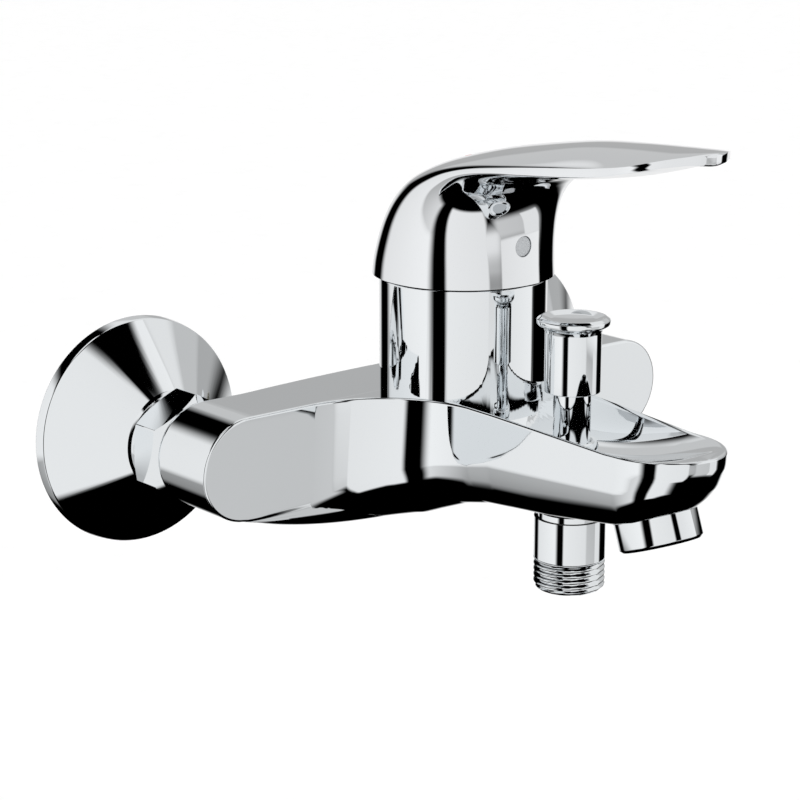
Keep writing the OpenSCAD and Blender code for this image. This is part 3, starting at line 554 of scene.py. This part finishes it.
for side, hand in ((-1, "left"), (1, "right")):
    x = side * INLET_X
    rim = ESCUTCHEON_R
    piece(hand + "_escutcheon_cone", turned(rounded([
        (rim - 1.1, 0.05), (rim, 0, 0.3), (rim - 0.5, 3.4, 1.1),
        (15.6, ESCUTCHEON_DEPTH - 2.2, 1.0), (14.8, ESCUTCHEON_DEPTH - 1.2, 0.4),
        (14.8, ESCUTCHEON_DEPTH, 0.4),
        (13.3, ESCUTCHEON_DEPTH, 0.2), (13.3, ESCUTCHEON_DEPTH - 3.3),
        (rim - 2.1, 2.7, 0.5), (rim - 1.1, 0.05)]), x, 0, "y"),
        "mixer_body", chrome, [hand + "_escutcheon"])

    nut = piece(hand + "_union_nut_hex", turned(rounded([
        (13.4, NUT[0]), (15.4, NUT[0], 0.3), (17.4, NUT[0] + 1.3, 0.6), (17.4, NUT[1] - 1.9, 0.6),
        (14.8, NUT[1], 0.4), (11.2, NUT[1]), (11.2, NUT[1] - 1.9), (13.4, NUT[1] - 1.9),
        (13.4, NUT[0])]), x, 0, "y"), "mixer_body", chrome, [hand + "_union_nut"])
    hexagon = bmesh.new()
    corner = HALF_FLATS / math.cos(math.pi / 6) * MM
    bmesh.ops.create_cone(hexagon, cap_ends=True, segments=6, radius1=corner, radius2=corner,
                          depth=60 * MM)
    long_edges = [e for e in hexagon.edges if abs(e.verts[0].co.z - e.verts[1].co.z) > MM]
    bmesh.ops.bevel(hexagon, geom=long_edges, offset=0.35 * MM, affect="EDGES", segments=3,
                    profile=0.5, material=-1)
    bmesh.ops.rotate(hexagon, verts=hexagon.verts, cent=(0, 0, 0),
                     matrix=Matrix.Rotation(math.radians(90), 3, "X"))
    bmesh.ops.translate(hexagon, verts=hexagon.verts, vec=at(x, 30, 0))
    carve(nut, hexagon, "INTERSECT")
    smoothed(nut, 20)

    collar = rod(17, 3, 9, x, 4)
    nipple = turned([(9.6, 7.5), (13.2, 7.5), (13.2, 29), (9.6, 29), (9.6, 7.5)], x, 0, "y")
    into_wall = thread(10.45, 1.814, 1.16, -3.5, WALL_END + 3.5, x, 0, "y")
    bmesh.ops.translate(into_wall, verts=into_wall.verts, vec=Vector((0, 0, -INLET_Z * MM)))
    union = piece(hand + "_offset_union", joined(collar, nipple, into_wall), "mixer_body",
                  nickel, [hand + "_wall_union"])
    carve(union, rod(6.9, -WALL_END - 1, 6, x, -INLET_Z), "DIFFERENCE")


# ---- lever ----

def up(h):
    """Height between the skirt's foot and the lever's top."""
    return SKIRT_FOOT + h * (LEVER_TOP - SKIRT_FOOT)


def behind(k):
    """Depth k skirt radii behind the neck's axis."""
    return NECK_Y - k * SKIRT_R


def ahead(f):
    """Depth f of the way from the neck's axis to the lever's tip."""
    return NECK_Y + f * (LEVER_TIP - NECK_Y)


BLADE = 20.8  # half width of the blade
# Each row: depth and height of the back or top point, depth and height of the front or
# underside point, and half width.
LEVER_ROWS = [
    (behind(1), up(0), behind(-1), up(0), SKIRT_R),
    (behind(0.97), up(0.10), behind(-0.99), up(0.11), SKIRT_R - 0.2),
    (behind(0.885), up(0.23), behind(-0.985), up(0.24), SKIRT_R - 0.4),
    (behind(0.75), up(0.375), behind(-0.996), up(0.365), SKIRT_R - 0.5),
    (behind(0.56), up(0.51), behind(-1.035), up(0.47), SKIRT_R - 0.6),
    (behind(0.31), up(0.625), behind(-1.11), up(0.555), SKIRT_R - 0.7),
    (ahead(0.002), up(0.715), ahead(0.327), up(0.62), SKIRT_R - 0.8),
    (ahead(0.106), up(0.79), ahead(0.379), up(0.685), SKIRT_R - 0.9),
    (ahead(0.235), up(0.858), ahead(0.464), up(0.728), SKIRT_R - 1.4),
    (ahead(0.374), up(0.91), ahead(0.563), up(0.755), BLADE + 3.4),
    (ahead(0.533), up(0.956), ahead(0.662), up(0.782), BLADE + 1.5),
    (ahead(0.692), up(0.98), ahead(0.77), up(0.82), BLADE - 0.9),
    (ahead(0.82), up(0.992), ahead(0.855), up(0.866), BLADE - 2.4),
    (ahead(0.91), up(0.998), ahead(0.915), up(0.904), BLADE - 6.3),
    (ahead(0.965), up(1), ahead(0.962), up(0.924), BLADE - 12.3),
    (ahead(0.994), up(0.997), ahead(0.991), up(0.924), BLADE - 17.0),
    (ahead(1), up(0.985), ahead(0.998), up(0.936), 0.05)]


def lever_blank():
    """The lever before it is hollowed: a dome that draws out into a blade with a crisp rim."""
    tops, band, unders, rows = 36, 6, 30, 150

    def place(i, j):
        half = tops + band + unders
        k = i if i <= half else 2 * half - i
        sign = 1 if i <= half else -1
        s = j / rows
        top_d, top_z, low_d, low_z, wide = through(LEVER_ROWS, s)
        rim = ramp(s, 0.42, 0.72)  # how far the oval has become a flat-edged blade
        edge = -0.15 + 0.85 * ramp(s, 0.74, 0.92)  # top of the rim band, thick at the tip
        if k <= tops:
            u = math.sin(math.pi / 2 * k / tops)
            angle = 90 - 82 * k / tops
            v = edge + (1 - edge) * (1 - u ** 2.2)
        elif k <= tops + band:
            t = (k - tops) / band
            u = 1.0 - 0.02 * (abs(2 * t - 1) ** 4) * (1 if 0 < t < 1 else 0)
            angle = 8 - 16 * t
            v = edge - (0.7 + edge) * t
        else:
            t = (k - tops - band) / unders
            u = math.cos(math.pi / 2 * t)
            angle = -8 - 82 * t
            v = -0.7 - 0.3 * (1 - u ** 2)
        oval_u = max(math.cos(math.radians(angle)), 0) ** 0.95
        oval_v = math.copysign(abs(math.sin(math.radians(angle))) ** 0.95, angle)
        u = oval_u + (u - oval_u) * rim
        v = oval_v + (v - oval_v) * rim
        x = sign * wide * u
        return at(x, (top_d + low_d) / 2 + v * (top_d - low_d) / 2,
                  (top_z + low_z) / 2 + v * (top_z - low_z) / 2)

    shape = lofted(2 * (tops + band + unders), rows, place)
    bmesh.ops.remove_doubles(shape, verts=shape.verts, dist=WELD)
    bmesh.ops.holes_fill(shape, edges=[e for e in shape.edges if e.is_boundary], sides=0)
    return shape


SCREW_Z = 60.8
MARK_R, MARK_X, MARK_DEPTH = 1.1, 2.2, NECK_Y + 4.5
MARK_FOOT = 80.2  # height at which the dots end inside the dome
MARK_PROUD = (0, 0.15 * MM, 0.43 * MM)  # how far they stand out of it
PEG_FOOT, PEG_TOP = 70, 100  # heights below and above the dome


def mark_peg(side):
    """An upright peg through the dome where a coloured dot sits."""
    return turned([(0, PEG_FOOT), (MARK_R, PEG_FOOT), (MARK_R, PEG_TOP), (0, PEG_TOP)],
                  side * MARK_X, MARK_DEPTH, steps=32)


lever = piece("lever_shell", lever_blank(), "lever", zinc, ["lever_handle"])
inner = [(0, SKIRT_FOOT - 2), (SKIRT_R - 1.2, SKIRT_FOOT - 2)]
for k in range(25):
    t = math.sin(math.pi / 2 * k / 24)
    inner.append(((SKIRT_R - 1.2) * max(1 - t ** 1.7, 0) ** 0.75, SKIRT_FOOT + t * 28.5))
carve(lever, turned(inner, 0, NECK_Y), "DIFFERENCE")
carve(lever, rod(3.12, NECK_Y + SKIRT_R - 6, NECK_Y + 40, 0, SCREW_Z), "DIFFERENCE")
for side, name, slot, enamel, node in (
        (-1, "hot_dot", "hot_red", red_enamel, "hot_mark"),
        (1, "cold_dot", "cold_blue", blue_enamel, "cold_mark")):
    blank = lever_blank()
    bmesh.ops.translate(blank, verts=blank.verts, vec=MARK_PROUD)
    dot = piece(name, blank, "lever", enamel, [node])
    carve(dot, mark_peg(side), "INTERSECT")
    carve(dot, turned([(0, 60), (9, 60), (9, MARK_FOOT), (0, MARK_FOOT)], 0, MARK_DEPTH),
          "DIFFERENCE")
    carve(lever, mark_peg(side), "DIFFERENCE")
smoothed(lever, 40)

piece("lever_hub", turned(rounded([(4.4, SKIRT_FOOT + 1.4), (7.6, SKIRT_FOOT + 1.4, 0.5),
                                   (7.6, SKIRT_FOOT + 28)]), 0, NECK_Y), "lever",
      zinc)
plug_face = NECK_Y + SKIRT_R - 0.75
plug = turned(rounded([(0, plug_face - 3), (3.05, plug_face - 3), (3.05, plug_face, 0.35),
                       (0, plug_face + 0.1)]), 0, 0, "y", 64)
bmesh.ops.translate(plug, verts=plug.verts, vec=Vector((0, 0, SCREW_Z * MM)))
piece("screw_cover", plug, "lever", grey_abs, ["lever_screw_plug"])

# ---- diverter ----
top = KNOB_TOP
piece("diverter_pull_knob", turned(rounded([
    (0, top - 1.5), (6.6, top - 1.1, 3), (9.2, top - 0.05, 0.8), (10.6, top - 0.9, 0.7),
    (10.5, top - 2.3, 0.8), (8.6, top - 3.4, 0.8), (8.15, top - 4.6, 0.6), (8.15, 22.0, 0.25),
    (7.6, 22.0, 0.1), (5.6, 22.2), (5.6, top - 6), (0, top - 6)]), 0, DIVERTER_Y),
    "diverter", chrome, ["diverter_knob"])
piece("diverter_rod", turned(rounded([
    (0, -13.9), (1.9, -13.9), (1.9, 1.4), (5.45, 1.4), (5.45, 3.1), (4.05, 3.1), (4.05, 4.9),
    (5.45, 4.9), (5.45, top - 6.1), (0, top - 6.1)]), 0, DIVERTER_Y),
    "diverter", chrome, ["diverter_stem"])
piece("diverter_collar", turned(rounded([
    (2.0, -0.2), (6.85, -0.2), (6.85, 4.7), (7.35, 4.7), (7.35, 7.6, 0.6), (6.0, 7.6, 0.4),
    (5.52, 7.2), (5.52, 1.2), (2.0, 1.2), (2.0, -0.2)]), 0, DIVERTER_Y),
    "mixer_body", chrome, ["diverter_bonnet"])

# ---- hose outlet ----
sleeve = turned(rounded([
    (6, -13.8), (9.2, -13.8), (9.2, -15.4), (10.45, -15.4), (10.45, -27.6, 0.2), (9.4, -28.3),
    (9.0, HOSE_END + 0.05, 0.3), (7.7, HOSE_END + 0.05), (7.7, HOSE_END + 14.2),
    (6, HOSE_END + 16), (6, -13.8)]), 0, DIVERTER_Y)
outlet = piece("hose_outlet_shell", joined(sleeve, thread(10.45, 1.72, 1.0, 27.9, -HOSE_END - 27.9,
                                                          0, DIVERTER_Y)),
               "mixer_body", chrome, ["hose_outlet"])
carve(outlet, turned([(0, HOSE_END - 2), (7.7, HOSE_END - 2), (7.7, -24), (0, -24)],
                     0, DIVERTER_Y), "DIFFERENCE")
smoothed(outlet, 40)
outlet.visible_glossy = False

# ---- aerator ----
low = AERATOR_Z - 7
aerator = tilted(turned(rounded([
    (9.8, low, 0.2), (11.1, low, 0.4), (12.0, low + 0.9, 0.4), (12.0, AERATOR_Z + 1.5, 0.2),
    (10.88, AERATOR_Z + 1.5), (10.88, AERATOR_Z + 5.6), (9.7, AERATOR_Z + 5.6),
    (9.7, low + 2), (9.8, low)]), 0, AERATOR_DEPTH), AERATOR_TILT, aerator_pivot)
ring = piece("aerator_ring", aerator, "mixer_body", chrome,
             ["aerator_housing"])
ring.visible_glossy = False

# ---- frame nodes that stay as they are ----
FINISHES = {
    brass: ["left_inlet_tail", "right_inlet_tail", "cartridge_stem", "cartridge_nut",
            "diverter_valve"],
    steel: ["cartridge_pivot_pin", "lever_set_screw", "diverter_spring", "check_valve_spring"],
    rubber: ["left_inlet_seal", "right_inlet_seal", "cartridge_port_seals",
             "diverter_stem_seal", "diverter_washers", "aerator_seal"],
    acetal: ["left_dirt_strainer", "right_dirt_strainer", "cartridge_base",
             "cartridge_disc_carrier", "check_valve_body", "aerator_insert"],
    black_acetal: ["cartridge_housing", "cartridge_rotor", "check_valve_poppet"],
    alumina: ["cartridge_fixed_disc", "cartridge_moving_disc"],
}
for finish, names in FINISHES.items():
    for name in names:
        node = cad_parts[name]
        for k in range(max(len(node.data.materials), 1)):
            if k < len(node.data.materials):
                node.data.materials[k] = finish
            else:
                node.data.materials.append(finish)

# Small parts inside and under the spout are left out of the polished body's reflections.
for name in ("check_valve_body", "check_valve_poppet", "check_valve_spring", "aerator_insert",
             "aerator_seal"):
    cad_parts[name].visible_glossy = False

# ---- studio ----

# Soft boxes round the mixer: first and last bearing from straight ahead (degrees, clockwise
# seen from above), lowest and highest edge, softness, brightness at the first and last bearing.
SOFT_BOXES = [
    (-164, -87, -24, 31, 6, 0.86, 1.0),
    (-164, -87, -48, 0, 5, 0.26, 0.80),
    (-64, -4, -52, 56, 3, 0.92, 0.86),
    (-12, 13, -26, -7, 8, 0.86, 0.84),
    (7, 67, -36, -14, 6, 0.64, 0.57),
    (44, 67, -36, -14, 2, 0.84, 0.84),
    (12, 67, -16.5, 56, 2, 0.84, 0.95),
    (62, 160, 0, 84, 6, 0.44, 0.46),
    (62, 160, 13, 84, 5, 0.58, 0.60),
    (62, 160, 30, 84, 8, 0.85, 0.85),
    (115, 165, -26, 4, 6, 0.90, 0.80),
    (-176, -60, 60, 88, 5, 0.95, 0.95),
]
FILL = 1.12  # brightness of the surroundings for matt surfaces
FLOOR_HALF, FLOOR_Z = 20, -0.6  # half size and height of the floor, in metres


def smooth_step(tree, low, high, socket):
    """A node that goes smoothly from 0 at low to 1 at high."""
    return add(tree, "MapRange", {"interpolation_type": "SMOOTHSTEP", "From Min": low,
                                  "From Max": high}, value=socket)


def maths(tree, operation, *sockets):
    """The output of a two-input math node."""
    links = {"n" + str(k): socket for k, socket in enumerate(sockets)}
    return add(tree, "Math", {"operation": operation}, **links).outputs[0]


def studio_world():
    """Dark surroundings with soft boxes, seen only in reflections, before a white backdrop."""
    world = bpy.data.worlds.new("studio")
    bpy.context.scene.world = world
    world.use_nodes = True
    tree = world.node_tree
    tree.nodes.clear()
    way = add(tree, "TexCoord").outputs["Generated"]
    split = add(tree, "SeparateXYZ", vector=way)
    rise = add(tree, "Math", {"operation": "ARCSINE"}, n0=split.outputs["Z"])
    flat = add(tree, "VectorMath", {"operation": "MULTIPLY", 1: (1, 1, 0)}, n0=way)
    flat = add(tree, "VectorMath", {"operation": "NORMALIZE"}, n0=flat.outputs[0])
    total = None
    for first, last, low, high, soft, start, finish in SOFT_BOXES:
        a, half = math.radians((first + last) / 2), (last - first) / 2
        toward = add(tree, "VectorMath", {"operation": "DOT_PRODUCT",
                                          1: (math.sin(a), -math.cos(a), 0)}, n0=flat.outputs[0])
        wide = smooth_step(tree, math.cos(math.radians(half + soft)),
                           math.cos(math.radians(half - soft)), toward.outputs["Value"])
        foot = smooth_step(tree, math.radians(low - soft), math.radians(low + soft),
                           rise.outputs[0])
        roof = smooth_step(tree, math.radians(high + soft), math.radians(high - soft),
                           rise.outputs[0])
        both = maths(tree, "MULTIPLY", wide.outputs[0], foot.outputs[0])
        inside = maths(tree, "MULTIPLY", both, roof.outputs[0])
        aside = add(tree, "VectorMath", {"operation": "DOT_PRODUCT",
                                         1: (math.cos(a), math.sin(a), 0)}, n0=flat.outputs[0])
        level = add(tree, "MapRange", {"From Min": -math.sin(math.radians(half)),
                                       "From Max": math.sin(math.radians(half)),
                                       "To Min": start, "To Max": finish},
                    n0=aside.outputs["Value"])
        light = maths(tree, "MULTIPLY", inside, level.outputs[0])
        total = light if total is None else maths(tree, "MAXIMUM", total, light)
    path = add(tree, "LightPath")
    fill = add(tree, "Math", {"operation": "MULTIPLY", 1: FILL},
               n0=path.outputs["Is Diffuse Ray"])
    plain = maths(tree, "MAXIMUM", path.outputs["Is Camera Ray"], fill.outputs[0])
    level = maths(tree, "MAXIMUM", plain, total)
    glow = add(tree, "Background", {"Color": linear("#ffffff")}, strength=level)
    end = tree.nodes.new("ShaderNodeOutputWorld")
    tree.links.new(glow.outputs[0], end.inputs["Surface"])


studio_world()

floor_shape = bmesh.new()
bmesh.ops.create_grid(floor_shape, x_segments=1, y_segments=1, size=FLOOR_HALF)
bmesh.ops.translate(floor_shape, verts=floor_shape.verts, vec=(0, 0, FLOOR_Z))
floor_paint = finish_of("matt_white_paint", "#ffffff", 0.0, 0.8, 3.0, 0.1, 0.0)
floor = piece("floor", floor_shape, None, floor_paint)
floor.visible_glossy = False

# ---- camera ----
eye = bpy.data.cameras.new("camera")
eye.sensor_width = 36
eye.lens = 103.76
eye.clip_start = 0.01
camera = bpy.data.objects.new("camera", eye)
bpy.context.scene.collection.objects.link(camera)
target = Vector((-0.01941, -0.060, 0.00358))
azimuth, elevation, distance = math.radians(-39.72), math.radians(14.62), 0.6922
camera.location = target + distance * Vector((
    math.sin(azimuth) * math.cos(elevation), -math.cos(azimuth) * math.cos(elevation),
    math.sin(elevation)))
camera.rotation_euler = (target - camera.location).to_track_quat("-Z", "Y").to_euler()
bpy.context.scene.camera = camera
bpy.context.scene.view_settings.view_transform = "Standard"
